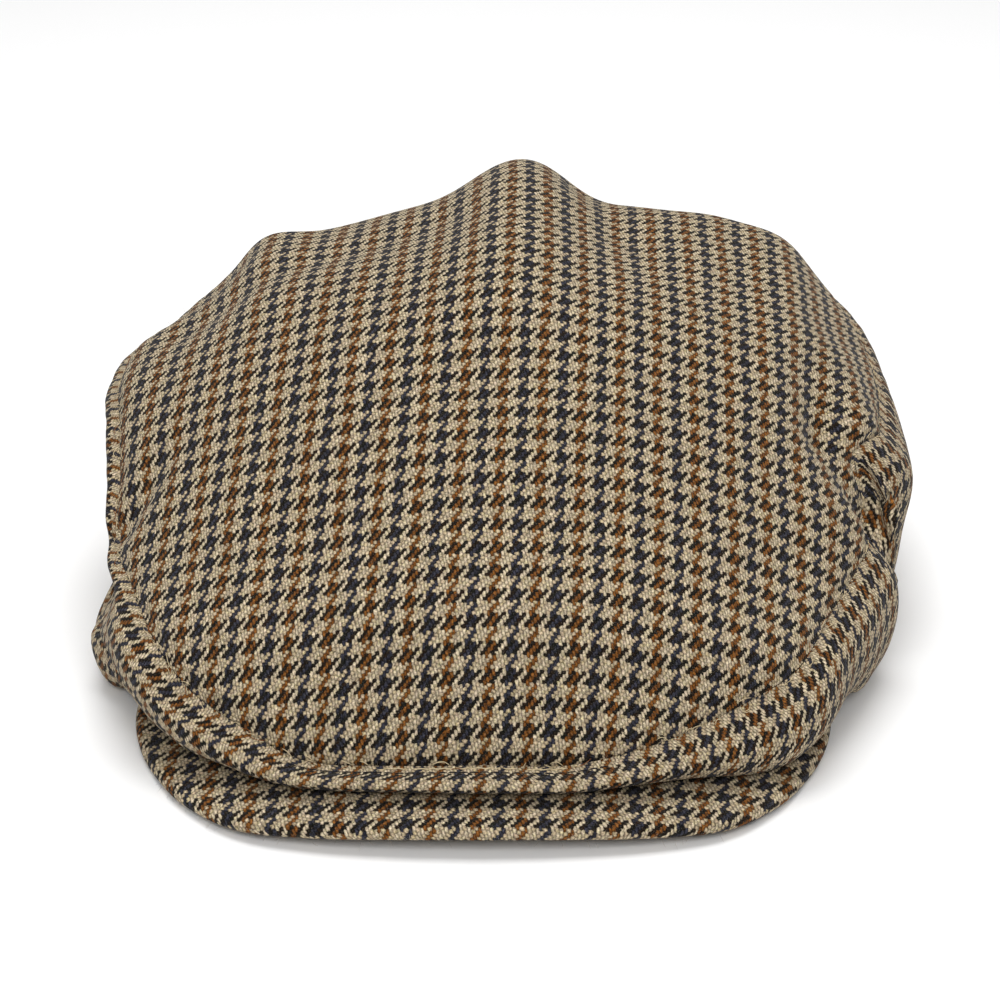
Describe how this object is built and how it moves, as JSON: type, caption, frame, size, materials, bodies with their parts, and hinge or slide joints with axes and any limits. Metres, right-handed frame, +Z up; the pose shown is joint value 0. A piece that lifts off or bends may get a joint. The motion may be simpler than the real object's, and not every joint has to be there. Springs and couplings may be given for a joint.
{
  "type": "flat cap",
  "caption": "Soft checked wool flat cap with a draped crown, a side band and a stiff covered peak, open underneath for the head",
  "frame": {"origin": "under the middle of the cap's bounding box, on the surface that the cap rests on", "axes": "+Y runs from the peak to the back of the head, +Z is up, +X is to the right as seen from the front"},
  "size_m": [0.2448, 0.2622, 0.1176],
  "materials": {
    "checked_cloth": "two-by-two twill wool in a small gun-club check, matt and slightly fuzzy"
  },
  "bodies": {
    "root": {"top_panel": "checked_cloth", "side_band": "checked_cloth", "peak": "checked_cloth"}
  },
  "joints": []
}
